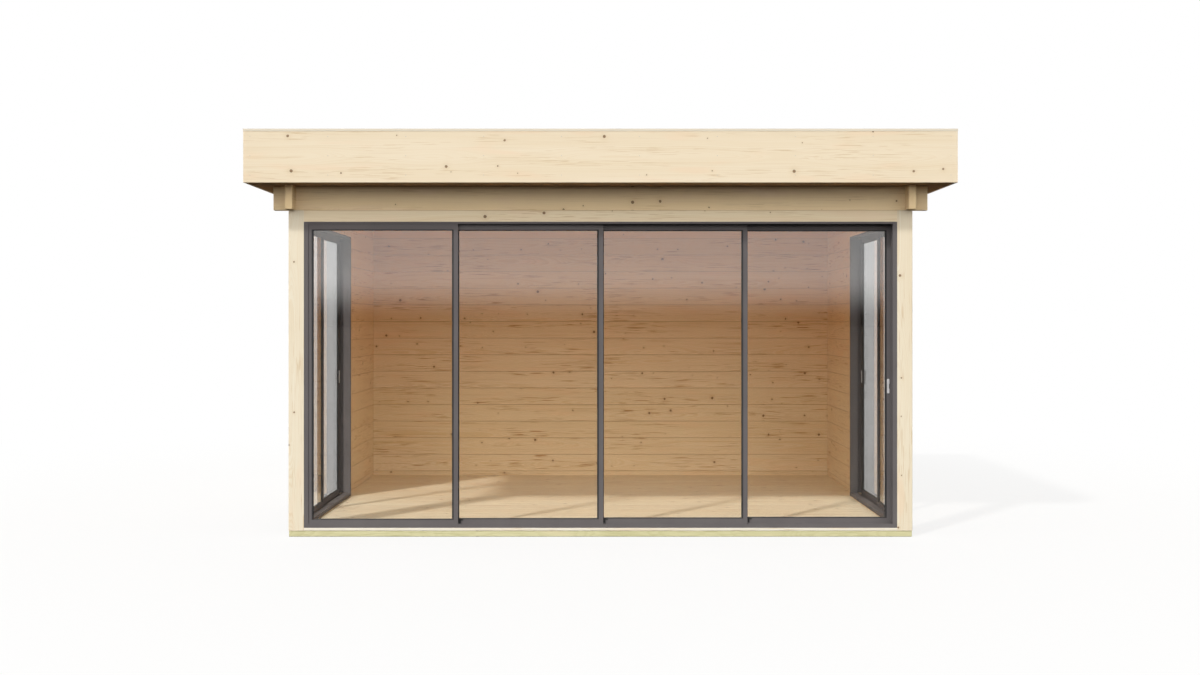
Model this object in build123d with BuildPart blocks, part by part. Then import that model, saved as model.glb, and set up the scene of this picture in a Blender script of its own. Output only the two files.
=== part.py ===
"""Garden office pod: log walls on a timber base, a flat boxed roof and glass doors that slide on parallel tracks.

Millimetres. The origin is at ground level under the middle of the building, +Z is up, the wide glass front
faces -Y and the plain log wall faces +Y.
"""

import os
from math import sqrt

from build123d import *

os.makedirs("parts", exist_ok=True)

# Walls, over their outer faces
wall_width = 4284
wall_depth = 3164
log_thickness = 50
course_height = 153
log_end = 103
log_edge = 3
joint_groove = 3
arris = 3
board_edge = 1.5

# Levels, from the ground up
beam_height = 42
beam_width = 120
beam_inset = 4
joist_width = 45
joist_count = 8
floor_thickness = 18
floor_gap = 4
sill_board_height = 20
door_height = 2100
lintel_height = 79
top_log_height = 165

# Corner posts of the glass front
post_width = 106
post_corner = 6

# Roof
eaves = 246
fascia_height = 360
fascia_thickness = 20
roof_board = 18
roof_joist_width = 45
roof_joist_count = 10
roof_joist_front = 250
roof_fall = 45
membrane_thickness = 3
trim_sheet = 2
trim_drip = 16
trim_cover = 60
trim_gap = 0.5

# Tracks of the sliding doors
track_pitch = 28
front_tracks = 4
side_tracks = 2
fin_thickness = 2
head_base = 6
head_lip = 14
sill_base = 8
sill_lip = 26
rib_width = 3
rib_height = 12
jamb_base = 12
jamb_width = 30

# Sliding panels
panel_thickness = 20
panel_count = 4
stile_width = 38
rail_height = 46
panel_edge = 1.2
jamb_entry = 7
foot_gap = 3
head_gap = 3
side_door_length = 1566
glass_thickness = 6
glass_entry = 10
glass_side_gap = 0.3
glass_edge_gap = 2
rib_slot = 9
rib_slot_clearance = 4

# Rollers in the foot of each sliding panel
roller_radius = 9
roller_flange = 1
roller_width = 8
roller_groove = 3.6
roller_seat_gap = 0.3
carriage_length = 58
carriage_width = 11
carriage_gap = 0.3
carriage_height = 17
carriage_inset = 150

# Handles
handle_level = 1030
handle_width = 17
handle_height = 100
handle_corner = 6
handle_edge = 0.8
handle_plate = 3
groove_height = 60
groove_width = 8.5
groove_depth = 2
pull_height = 122
pull_reach = 16
pull_fin = 4
pull_fin_corner = 1.9

# Levels and faces that follow from the sizes above
right = wall_width / 2
front = -wall_depth / 2
back = wall_depth / 2
wall_inside_x = right - log_thickness
door_bottom = beam_height + sill_board_height
door_top = door_bottom + door_height
top_log_bottom = door_top + lintel_height
eaves_level = top_log_bottom + top_log_height
roof_top = eaves_level + fascia_height
frame_depth = front_tracks * track_pitch + fin_thickness
post_inside_x = right - post_width
door_inside_y = front + frame_depth
side_door_end = door_inside_y + side_door_length
panel_bottom = door_bottom + sill_base + foot_gap
panel_top = door_top - head_base - head_gap
rib_top = door_bottom + sill_base + rib_height
joints = [
    top_log_bottom - course_height * course
    for course in range(1, int((top_log_bottom - beam_height - arris) // course_height) + 1)
]
course_levels = [beam_height] + joints[::-1] + [top_log_bottom]
roof_half_x = right + eaves
roof_half_y = back + eaves


def save(piece, name):
    piece.part.label = name
    export_step(piece.part, f"parts/{name}.step")


def save_pair(piece, name):
    """Write the right-hand piece and its mirror image on the left"""
    with BuildPart() as twin:
        mirror(piece.part, about=Plane.YZ)
    save(piece, f"right_{name}")
    save(twin, f"left_{name}")


def both_sides(piece):
    """Keep the right-hand piece and add its mirror image, for a pair that shares one name"""
    with BuildPart() as pair:
        add(piece.part)
        mirror(piece.part, about=Plane.YZ)
    return pair


def timber(x_range, y_range, z_range, softened=0):
    """Square timber between three ranges, with its long edges softened"""
    sizes = [high - low for low, high in (x_range, y_range, z_range)]
    long_axis = (Axis.X, Axis.Y, Axis.Z)[sizes.index(max(sizes))]
    with BuildPart() as piece:
        with BuildSketch(Plane.XY.offset(z_range[0])):
            with Locations((sum(x_range) / 2, sum(y_range) / 2)):
                Rectangle(sizes[0], sizes[1])
        extrude(amount=sizes[2])
        if softened:
            chamfer(piece.edges().filter_by(long_axis), softened)
    return piece


def log_stack(plane, middle, levels, length):
    """Logs laid one on another: their section on the plane, extruded, with a groove along each joint"""
    with BuildPart() as stack:
        with BuildSketch(plane):
            with Locations((middle, (levels[0] + levels[-1]) / 2)):
                Rectangle(log_thickness, levels[-1] - levels[0])
            for joint in levels[1:-1]:
                with Locations((middle - log_thickness / 2, joint), (middle + log_thickness / 2, joint)):
                    Rectangle(joint_groove * sqrt(2), joint_groove * sqrt(2), rotation=45, mode=Mode.SUBTRACT)
        extrude(amount=length)
    return stack


def soften_ends(stack, corners):
    """Take off the upright edges of the logs' free ends"""
    with BuildPart() as softened:
        add(stack.part)
        with BuildSketch():
            with Locations(*corners):
                Rectangle(log_edge * sqrt(2), log_edge * sqrt(2), rotation=45)
        extrude(amount=top_log_bottom, mode=Mode.SUBTRACT)
    return softened


def top_log(plane, middle, crossings, length, upper):
    """One log with all its edges softened, halved where the others cross it"""
    with BuildPart() as log:
        add(log_stack(plane, middle, top_levels, length).part)
        chamfer(log.edges(), log_edge)
    return cut_laps(log, crossings, top_levels, upper)


def cut_laps(stack, crossings, levels, upper):
    """Halve each log where another wall crosses it, so that the crossing logs lie in each other"""
    with BuildPart() as lapped:
        add(stack.part)
        for low, high in zip(levels[:-1], levels[1:]):
            half = (high - low) / 2
            middle = high - half / 2 if upper else low + half / 2
            with Locations(*[(x, y, middle) for x, y in crossings]):
                Box(log_thickness, log_thickness, half, mode=Mode.SUBTRACT)
    return lapped


# Base: impregnated beams under the walls, joists between them and the boarded floor
base_x = right - beam_inset
base_y = back - beam_inset
front_beam = timber((-base_x, base_x), (-base_y, -base_y + beam_width), (0, beam_height), arris)
save(front_beam, "front_foundation_beam")
back_beam = timber((-base_x, base_x), (base_y - beam_width, base_y), (0, beam_height), arris)
save(back_beam, "back_foundation_beam")
side_beam = timber((base_x - beam_width, base_x), (beam_width - base_y, base_y - beam_width), (0, beam_height), arris)
save(both_sides(side_beam), "side_foundation_beams")

joist_length = 2 * (base_y - beam_width)
joist_spacing = 2 * (base_x - beam_width) / (joist_count + 1)
with BuildPart() as floor_joists:
    with BuildSketch():
        with GridLocations(joist_spacing, 0, joist_count, 1):
            Rectangle(joist_width, joist_length)
    extrude(amount=beam_height)
save(floor_joists, "floor_joists")

floor_front = door_inside_y + floor_gap
floor_back = back - log_thickness - floor_gap
floor_step = side_door_end + floor_gap
floor_narrow = right - frame_depth - floor_gap
floor_wide = wall_inside_x - floor_gap
with BuildPart() as floor_boards:
    with BuildSketch(Plane.XY.offset(beam_height)):
        with BuildLine():
            Polyline(
                (0, floor_front),
                (floor_narrow, floor_front),
                (floor_narrow, floor_step),
                (floor_wide, floor_step),
                (floor_wide, floor_back),
                (0, floor_back),
            )
            mirror(about=Plane.YZ)
        make_face()
    extrude(amount=floor_thickness)
save(floor_boards, "floor_boards")

# Log walls: the back wall from end to end, the side walls from the side doors to past the back corner
back_middle = back - log_thickness / 2
side_middle = right - log_thickness / 2
wall_reach_x = right + log_end
wall_reach_y = back + log_end
back_corners = [(-side_middle, back_middle), (side_middle, back_middle)]
front_corners = [(-side_middle, -back_middle), (side_middle, -back_middle)]

back_plane = Plane.YZ.offset(-wall_reach_x)
back_ends = [(x, y) for x in (-wall_reach_x, wall_reach_x) for y in (back - log_thickness, back)]
back_stack = soften_ends(log_stack(back_plane, back_middle, course_levels, 2 * wall_reach_x), back_ends)
save(cut_laps(back_stack, back_corners, course_levels, upper=False), "back_wall")

side_plane = Plane.XZ.offset(-wall_reach_y)
side_ends = [(x, wall_reach_y) for x in (right - log_thickness, right)]
side_stack = log_stack(side_plane, side_middle, course_levels, wall_reach_y - side_door_end)
side_stack = soften_ends(side_stack, side_ends)
save_pair(cut_laps(side_stack, back_corners[1:], course_levels, upper=True), "wall")

# Posts and lintels that frame the glass
with BuildPart() as corner_post:
    with BuildSketch(Plane.XY.offset(beam_height)):
        with Locations((right - post_width / 2, front + frame_depth / 2)):
            Rectangle(post_width, frame_depth)
    extrude(amount=top_log_bottom - beam_height)
    outer_edge = corner_post.edges().filter_by(Axis.Z).sort_by(Axis.X)[-2:].sort_by(Axis.Y)[0]
    fillet(outer_edge, post_corner)
save_pair(corner_post, "front_post")

front_span = (-post_inside_x, post_inside_x)
front_band = (front, door_inside_y)
side_span = (door_inside_y, side_door_end)
side_band = (right - frame_depth, right)
save(timber(front_span, front_band, (beam_height, door_bottom), board_edge), "front_sill_board")
save(timber(front_span, front_band, (door_top, top_log_bottom), board_edge), "front_lintel")
side_sill_board = timber(side_band, side_span, (beam_height, door_bottom), board_edge)
save(both_sides(side_sill_board), "side_sill_boards")
side_lintel = timber(side_band, side_span, (door_top, top_log_bottom), board_edge)
save(both_sides(side_lintel), "side_lintels")

# Top logs: halved over each other at the four corners, with their ends standing out under the eaves
top_levels = [top_log_bottom, eaves_level]
for name, middle, corners in (("front", -back_middle, front_corners), ("back", back_middle, back_corners)):
    save(top_log(Plane.YZ.offset(-wall_reach_x), middle, corners, 2 * wall_reach_x, upper=False), f"{name}_top_log")
side_top_corners = [front_corners[1], back_corners[1]]
save_pair(top_log(side_plane, side_middle, side_top_corners, 2 * wall_reach_y, upper=True), "top_log")

# Roof: boards over the walls, tapered joists, deck and membrane with a fall to the back, inside a deep fascia
fascia_x = roof_half_x - trim_sheet
fascia_y = roof_half_y - trim_sheet
inner_x = fascia_x - fascia_thickness
inner_y = fascia_y - fascia_thickness
boards_top = eaves_level + roof_board
fascia_top = roof_top - trim_sheet

with BuildPart() as ceiling_boards:
    with BuildSketch(Plane.XY.offset(eaves_level)):
        Rectangle(2 * inner_x, 2 * inner_y)
    extrude(amount=roof_board)
save(ceiling_boards, "ceiling_boards")

roof_joist_back = roof_joist_front - roof_fall
roof_joist_spacing = (2 * inner_x - roof_joist_width) / (roof_joist_count - 1)
with BuildPart() as roof_joists:
    for column in range(roof_joist_count):
        with BuildSketch(Plane.YZ.offset(column * roof_joist_spacing - inner_x)):
            with BuildLine():
                Polyline(
                    (-inner_y, boards_top),
                    (inner_y, boards_top),
                    (inner_y, boards_top + roof_joist_back),
                    (-inner_y, boards_top + roof_joist_front),
                    close=True,
                )
            make_face()
        extrude(amount=roof_joist_width)
save(roof_joists, "roof_joists")


def sloping_layer(lift, thickness):
    """A layer that lies on the fall of the joists, its underside this far above them"""
    low = boards_top + lift
    with BuildPart() as layer:
        with BuildSketch(Plane.YZ.offset(-inner_x)):
            with BuildLine():
                Polyline(
                    (-inner_y, low + roof_joist_front),
                    (inner_y, low + roof_joist_back),
                    (inner_y, low + roof_joist_back + thickness),
                    (-inner_y, low + roof_joist_front + thickness),
                    close=True,
                )
            make_face()
        extrude(amount=2 * inner_x)
    return layer


save(sloping_layer(0, roof_board), "roof_deck")
save(sloping_layer(roof_board, membrane_thickness), "roof_membrane")

fascia_levels = (eaves_level, fascia_top)
save(timber((-fascia_x, fascia_x), (-fascia_y, -inner_y), fascia_levels, board_edge), "front_fascia")
save(timber((-fascia_x, fascia_x), (inner_y, fascia_y), fascia_levels, board_edge), "back_fascia")
save_pair(timber((inner_x, fascia_x), (-inner_y, inner_y), fascia_levels, board_edge), "fascia")


def trim_outline(outer):
    """Corners of the folded edge trim: a cover on the fascia and a drip leg down its face"""
    inner = outer - trim_sheet - trim_cover
    cover = [(outer - trim_sheet, fascia_top), (inner, fascia_top), (inner, roof_top), (outer, roof_top)]
    return cover + [(outer, roof_top - trim_drip), (outer - trim_sheet, roof_top - trim_drip)]


trim_inner_y = roof_half_y - trim_sheet - trim_cover - trim_gap
with BuildPart() as roof_edge_trim:
    with BuildSketch(Plane.YZ.offset(-roof_half_x)):
        with BuildLine():
            Polyline(*trim_outline(roof_half_y), close=True)
        make_face()
        mirror(about=Plane.YZ)
    extrude(amount=2 * roof_half_x)
    with BuildSketch(Plane.XZ.offset(-trim_inner_y)):
        with BuildLine():
            Polyline(*trim_outline(roof_half_x), close=True)
        make_face()
        mirror(about=Plane.YZ)
    extrude(amount=2 * trim_inner_y)
save(roof_edge_trim, "roof_edge_trim")


def head_section(tracks):
    """Section of a head, from its outer face inwards and up: fins between the tracks, solid past the last one"""
    channels = tracks * track_pitch + fin_thickness
    Rectangle(frame_depth, head_base, align=(Align.MIN, Align.MAX))
    for fin in range(tracks + 1):
        with Locations((fin * track_pitch, 0)):
            Rectangle(fin_thickness, head_lip, align=(Align.MIN, Align.MAX))
    if channels < frame_depth:
        with Locations((channels, 0)):
            Rectangle(frame_depth - channels, head_lip, align=(Align.MIN, Align.MAX))


def sill_section(tracks):
    """Section of a sill: a lip at each side, a rounded running rib on each track, solid past the last one"""
    channels = tracks * track_pitch + fin_thickness
    Rectangle(frame_depth, sill_base, align=(Align.MIN, Align.MIN))
    for lip in (0, channels - fin_thickness):
        with Locations((lip, 0)):
            Rectangle(fin_thickness, sill_lip, align=(Align.MIN, Align.MIN))
    for track in range(tracks):
        with Locations((track_middle(track), sill_base)):
            Rectangle(rib_width, rib_height - rib_width / 2, align=(Align.CENTER, Align.MIN))
        with Locations((track_middle(track), sill_base + rib_height - rib_width / 2)):
            Circle(rib_width / 2)
    if channels < frame_depth:
        with Locations((channels, 0)):
            Rectangle(frame_depth - channels, sill_lip, align=(Align.MIN, Align.MIN))


def jamb_section(tracks):
    """Section of a jamb, from its outer face inwards and from its back to the glass"""
    channels = tracks * track_pitch + fin_thickness
    Rectangle(frame_depth, jamb_base, align=(Align.MIN, Align.MIN))
    for fin in range(tracks + 1):
        with Locations((fin * track_pitch, 0)):
            Rectangle(fin_thickness, jamb_width, align=(Align.MIN, Align.MIN))
    if channels < frame_depth:
        with Locations((channels, 0)):
            Rectangle(frame_depth - channels, jamb_width, align=(Align.MIN, Align.MIN))


def track_middle(track):
    """Distance of a track's middle from the outer face of the frame, the first track outermost"""
    return fin_thickness + (track_pitch - fin_thickness) / 2 + track * track_pitch


# Front door frame: four tracks in head and sill, and a jamb with four channels at each end
front_length = 2 * post_inside_x
with BuildPart() as front_door_head:
    with BuildSketch(Plane((-post_inside_x, front, door_top), x_dir=(0, 1, 0), z_dir=(1, 0, 0))):
        head_section(front_tracks)
    extrude(amount=front_length)
save(front_door_head, "front_door_head")

with BuildPart() as front_door_sill:
    with BuildSketch(Plane((-post_inside_x, front, door_bottom), x_dir=(0, 1, 0), z_dir=(1, 0, 0))):
        sill_section(front_tracks)
    extrude(amount=front_length)
save(front_door_sill, "front_door_sill")

jamb_foot = door_bottom + sill_lip
jamb_length = door_top - head_lip - jamb_foot
with BuildPart() as front_door_jamb:
    with BuildSketch(Plane((post_inside_x, front, jamb_foot), x_dir=(0, 1, 0), z_dir=(0, 0, 1))):
        jamb_section(front_tracks)
    extrude(amount=jamb_length)
save(both_sides(front_door_jamb), "front_door_jambs")

# Side door frames: the same depth, with two tracks on the outside and a plain ledge indoors
with BuildPart() as side_door_head:
    with BuildSketch(Plane((right, side_door_end, door_top), x_dir=(-1, 0, 0), z_dir=(0, 1, 0))):
        head_section(side_tracks)
    extrude(amount=-side_door_length)
save(both_sides(side_door_head), "side_door_heads")

with BuildPart() as side_door_sill:
    with BuildSketch(Plane((right, side_door_end, door_bottom), x_dir=(-1, 0, 0), z_dir=(0, 1, 0))):
        sill_section(side_tracks)
    extrude(amount=-side_door_length)
save(both_sides(side_door_sill), "side_door_sills")

with BuildPart() as side_door_jamb:
    with BuildSketch(Plane((right, side_door_end, jamb_foot), x_dir=(-1, 0, 0), z_dir=(0, 0, 1))):
        jamb_section(side_tracks)
    extrude(amount=jamb_length)
    with BuildSketch(Plane((right, door_inside_y, jamb_foot), x_dir=(-1, 0, 0), z_dir=(0, 0, -1))):
        jamb_section(side_tracks)
    extrude(amount=-jamb_length)
save(both_sides(side_door_jamb), "side_door_jambs")


def panel_plane(outward, along, corner):
    """Plane of a panel's middle: its x runs along the track, its y up and its z out of the building"""
    return Plane(corner, x_dir=along, z_dir=outward)


def panel_frame(plane, width, sliding):
    """Frame of a glazed panel, from its lower left corner: slotted for the glass and for the rib it stands on"""
    height = panel_top - panel_bottom
    opening = (width - 2 * stile_width, height - 2 * rail_height)
    slot_depth = rib_top - panel_bottom + (rib_slot_clearance if sliding else 0)
    with BuildPart() as frame:
        with BuildSketch(plane):
            with Locations((width / 2, height / 2)):
                Rectangle(width, height)
                Rectangle(*opening, mode=Mode.SUBTRACT)
        extrude(amount=panel_thickness / 2, both=True)
        chamfer(frame.faces().filter_by(plane).edges(), panel_edge)
        with BuildSketch(plane):
            with Locations((width / 2, height / 2)):
                Rectangle(opening[0] + 2 * glass_entry, opening[1] + 2 * glass_entry)
        extrude(amount=glass_thickness / 2 + glass_side_gap, both=True, mode=Mode.SUBTRACT)
        with BuildSketch(plane):
            with Locations((width / 2, slot_depth / 2)):
                Rectangle(width, slot_depth)
        extrude(amount=rib_slot / 2, both=True, mode=Mode.SUBTRACT)
        if sliding:
            with BuildSketch(plane):
                with Locations(*roller_spots(width, pocket_top / 2)):
                    Rectangle(carriage_length + 2 * carriage_gap, pocket_top)
            extrude(amount=carriage_width / 2 + carriage_gap, both=True, mode=Mode.SUBTRACT)
    return frame


def panel_glass(plane, width):
    """Pane that stands on the bottom of the frame's slot"""
    pane_width = width - 2 * stile_width + 2 * glass_entry - 2 * glass_edge_gap
    pane_bottom = rail_height - glass_entry
    pane_top = panel_top - panel_bottom - rail_height + glass_entry - glass_edge_gap
    with BuildPart() as pane:
        with BuildSketch(plane):
            with Locations((width / 2, (pane_bottom + pane_top) / 2)):
                Rectangle(pane_width, pane_top - pane_bottom)
        extrude(amount=glass_thickness / 2, both=True)
    return pane


roller_middle = rib_top + roller_seat_gap + roller_radius - panel_bottom
pocket_top = roller_middle + carriage_height - roller_flange


def roller_spots(width, level):
    return [(carriage_inset, level), (width - carriage_inset, level)]


def panel_rollers(plane, width):
    """Two carriages that fill their pockets, each with a flanged wheel that runs on the rib"""
    with BuildPart() as rollers:
        with BuildSketch(plane):
            with Locations(*roller_spots(width, pocket_top - carriage_height / 2)):
                Rectangle(carriage_length, carriage_height)
        extrude(amount=carriage_width / 2, both=True)
        with BuildSketch(plane):
            with Locations(*roller_spots(width, roller_middle)):
                Circle(roller_radius + roller_flange)
        extrude(amount=roller_width / 2, both=True)
        with BuildSketch(plane):
            with Locations(*roller_spots(width, rib_top + roller_seat_gap - panel_bottom - roller_flange)):
                Rectangle(2 * roller_radius, 2 * roller_flange)
        extrude(amount=roller_groove / 2, both=True, mode=Mode.SUBTRACT)
    return rollers


def panel_handle(plane, middle, flush_face):
    """Flush plate with a finger groove on one face of a stile, and a pull with an upright fin on the other"""
    level = handle_level - panel_bottom
    plate_plane = plane.offset(flush_face * panel_thickness / 2)
    groove_plane = plane.offset(flush_face * (panel_thickness / 2 + handle_plate))
    pull_plane = plane.offset(-flush_face * panel_thickness / 2)
    with BuildPart() as handle:
        with BuildSketch(plate_plane):
            with Locations((middle, level)):
                RectangleRounded(handle_width, handle_height, handle_corner)
        extrude(amount=flush_face * handle_plate)
        plate_face = handle.faces().filter_by(plane).sort_by(Axis(plane.origin, plane.z_dir))
        chamfer(plate_face[-1 if flush_face > 0 else 0].edges(), handle_edge)
        with BuildSketch(groove_plane):
            with Locations((middle, level)):
                SlotOverall(groove_height, groove_width, rotation=90)
        extrude(amount=-flush_face * groove_depth, mode=Mode.SUBTRACT)
        with BuildSketch(pull_plane):
            with Locations((middle, level)):
                RectangleRounded(handle_width, pull_height, handle_corner)
        extrude(amount=-flush_face * handle_plate)
        with BuildSketch(pull_plane.offset(-flush_face * handle_plate)):
            with Locations((middle, level)):
                RectangleRounded(pull_fin, pull_height - 2 * handle_corner, pull_fin_corner)
        extrude(amount=-flush_face * (pull_reach - handle_plate))
    return handle


# Front panels: the first is fixed on the outermost track, the others slide behind it on one track each
front_run = front_length - 2 * (jamb_width - jamb_entry)
front_panel_width = (front_run + (panel_count - 1) * stile_width) / panel_count
front_pitch = front_panel_width - stile_width
for number in range(1, panel_count + 1):
    panel_left = -front_run / 2 + (number - 1) * front_pitch
    track_y = front + track_middle(number - 1)
    plane = panel_plane((0, -1, 0), (1, 0, 0), (panel_left, track_y, panel_bottom))
    sliding = number > 1
    save(panel_frame(plane, front_panel_width, sliding), f"front_panel_{number}_frame")
    save(panel_glass(plane, front_panel_width), f"front_panel_{number}_glass")
    if sliding:
        save(panel_rollers(plane, front_panel_width), f"front_panel_{number}_rollers")
    if number == panel_count:
        save(panel_handle(plane, front_panel_width - stile_width / 2, 1), f"front_panel_{number}_handle")

# Side panels: the one nearest the front is fixed on the second track, the other slides outside it
side_run = side_door_length - 2 * (jamb_width - jamb_entry)
side_panel_width = (side_run + stile_width) / 2
side_start = door_inside_y + jamb_width - jamb_entry
fixed_corner = (right - track_middle(1), side_start, panel_bottom)
fixed_plane = panel_plane((1, 0, 0), (0, 1, 0), fixed_corner)
save_pair(panel_frame(fixed_plane, side_panel_width, False), "fixed_panel_frame")
save_pair(panel_glass(fixed_plane, side_panel_width), "fixed_panel_glass")

sliding_corner = (right - track_middle(0), side_start + side_panel_width - stile_width, panel_bottom)
sliding_plane = panel_plane((1, 0, 0), (0, 1, 0), sliding_corner)
save_pair(panel_frame(sliding_plane, side_panel_width, True), "sliding_panel_frame")
save_pair(panel_glass(sliding_plane, side_panel_width), "sliding_panel_glass")
save_pair(panel_rollers(sliding_plane, side_panel_width), "sliding_panel_rollers")
save_pair(panel_handle(sliding_plane, side_panel_width - stile_width / 2, -1), "sliding_panel_handle")
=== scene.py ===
import math

import bmesh
import bpy
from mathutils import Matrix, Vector


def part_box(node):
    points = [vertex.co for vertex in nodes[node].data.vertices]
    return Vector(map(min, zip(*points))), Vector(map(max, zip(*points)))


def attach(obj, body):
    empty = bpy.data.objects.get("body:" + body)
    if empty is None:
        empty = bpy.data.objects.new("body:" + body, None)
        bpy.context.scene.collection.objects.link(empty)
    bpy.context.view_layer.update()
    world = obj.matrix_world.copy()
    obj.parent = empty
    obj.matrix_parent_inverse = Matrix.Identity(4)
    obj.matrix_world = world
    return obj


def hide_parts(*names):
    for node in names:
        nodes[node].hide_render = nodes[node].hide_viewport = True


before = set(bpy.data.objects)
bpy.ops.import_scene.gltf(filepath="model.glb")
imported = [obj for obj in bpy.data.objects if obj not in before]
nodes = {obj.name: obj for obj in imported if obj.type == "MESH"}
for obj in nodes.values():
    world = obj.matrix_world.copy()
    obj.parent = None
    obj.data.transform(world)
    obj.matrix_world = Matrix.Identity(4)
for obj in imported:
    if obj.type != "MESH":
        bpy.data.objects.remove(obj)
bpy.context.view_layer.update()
print("loaded", len(nodes), "CAD nodes")


# Helpers for shader and geometry trees
def plug(tree, socket, value):
    if isinstance(value, bpy.types.NodeSocket):
        tree.links.new(value, socket)
    else:
        socket.default_value = value


def addNode(tree, kind, inputs=None, **settings):
    made = tree.nodes.new(kind)
    for name, value in settings.items():
        setattr(made, name, value)
    for key, value in (inputs or {}).items():
        plug(tree, made.inputs[key], value)
    return made


def calc(tree, operation, first, second=0.0, third=0.0, clamp=False):
    values = {0: first, 1: second, 2: third}
    return addNode(tree, "ShaderNodeMath", values, operation=operation, use_clamp=clamp).outputs[0]


def times(tree, first, second, **settings):
    return calc(tree, "MULTIPLY", first, second, **settings)


def timesPlus(tree, first, second, third):
    return calc(tree, "MULTIPLY_ADD", first, second, third)


def plus(tree, first, second):
    return calc(tree, "ADD", first, second)


def minus(tree, first, second):
    return calc(tree, "SUBTRACT", first, second)


def over(tree, first, second):
    return calc(tree, "DIVIDE", first, second)


def larger(tree, first, second):
    return calc(tree, "MAXIMUM", first, second)


def magnitude(tree, value):
    return calc(tree, "ABSOLUTE", value)


def built(tree, kind, inputs=None, **settings):
    return addNode(tree, "GeometryNode" + kind, inputs, **settings).outputs[0]


def ramp(tree, value, low, high, start=0.0, end=1.0):
    values = {"Value": value, "From Min": low, "From Max": high, "To Min": start, "To Max": end}
    return addNode(tree, "ShaderNodeMapRange", values, interpolation_type="SMOOTHSTEP").outputs[0]


def noise(tree, vector, scale=1.0, detail=2.0, roughness=0.5, kind="3D"):
    where = "W" if kind == "1D" else "Vector"
    values = {where: vector, "Scale": scale, "Detail": detail, "Roughness": roughness}
    return addNode(tree, "ShaderNodeTexNoise", values, noise_dimensions=kind).outputs[0]


def join(tree, x, y, z):
    return addNode(tree, "ShaderNodeCombineXYZ", {0: x, 1: y, 2: z}).outputs[0]


def stretch(tree, vector, factors):
    return addNode(tree, "ShaderNodeVectorMath", {0: vector, 1: factors}, operation="MULTIPLY").outputs[0]


def whiteNoise(tree, value):
    return addNode(tree, "ShaderNodeTexWhiteNoise", {"W": value}, noise_dimensions="1D").outputs


def split(tree, vector):
    return addNode(tree, "ShaderNodeSeparateXYZ", {0: vector}).outputs


def blend(tree, factor, first, second, mode="MIX"):
    made = addNode(tree, "ShaderNodeMix", data_type="RGBA", blend_type=mode)
    for index, value in ((0, factor), (6, first), (7, second)):
        if isinstance(value, tuple):
            value = (*value, 1.0)
        plug(tree, made.inputs[index], value)
    return made.outputs[2]


def tinted(tree, colour, tone):
    return blend(tree, 1.0, colour, tone, "MULTIPLY")


def mixShaders(tree, factor, first, second):
    return addNode(tree, "ShaderNodeMixShader", {0: factor, 1: first, 2: second}).outputs[0]


def groupTree(name, kind, inputs, outputs):
    tree = bpy.data.node_groups.new(name, kind)
    for label, socketKind, value in inputs:
        socket = tree.interface.new_socket(label, in_out="INPUT", socket_type="NodeSocket" + socketKind)
        if value is not None:
            socket.default_value = value
    for label, socketKind in outputs:
        tree.interface.new_socket(label, in_out="OUTPUT", socket_type="NodeSocket" + socketKind)
    return tree, tree.nodes.new("NodeGroupInput").outputs, tree.nodes.new("NodeGroupOutput").inputs


def useGroup(tree, group, **values):
    kind = "ShaderNodeGroup" if group.bl_idname == "ShaderNodeTree" else "GeometryNodeGroup"
    made = addNode(tree, kind, node_tree=group)
    for label, value in values.items():
        plug(tree, made.inputs[label], value)
    return made.outputs


def newMaterial(name, roughness=0.5, **constants):
    made = bpy.data.materials.new(name)
    made.use_nodes = True
    shader = made.node_tree.nodes["Principled BSDF"]
    shader.inputs["Roughness"].default_value = roughness
    for label, value in constants.items():
        shader.inputs[label.replace("_", " ")].default_value = value
    return made, made.node_tree, shader


# Numbers of the wood: lengths in metres, and how often a pattern comes per metre along and across
wood = {
    "boardShift": 37.0,
    "pithSpread": -0.12,
    "pithStart": 0.06,
    "pithDrift": 0.05,
    "pithSink": 0.07,
    "pithLeast": 0.35,
    "faceShift": 1.37,
    "knotRagged": 240.0,
    "knotBulge": -0.11,
    "barkMiddle": 0.92,
    "barkThin": 5.0,
    "endFacing": (0.6, 0.8),
    "waves": (1.6, 22.0, 22.0),
    "waveDepth": 0.006,
    "bend": 1.4,
    "years": 70.0,
    "yearsApart": 5.0,
    "clouds": (0.55, 7.0, 7.0),
    "blushes": (1.7, 9.0, 9.0),
    "dashes": (4.6, 170.0),
    "clusters": (1.3, 15.0),
    "longDashes": (1.1, 240.0),
    "stripes": (0.8, 8.0),
    "hairs": (26.0, 1100.0, 1100.0),
}
grainParts = ("Ring", "Shade", "Blush", "Streak", "Fibre", "Knot", "Bark", "Halo", "End", "Height")


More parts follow.
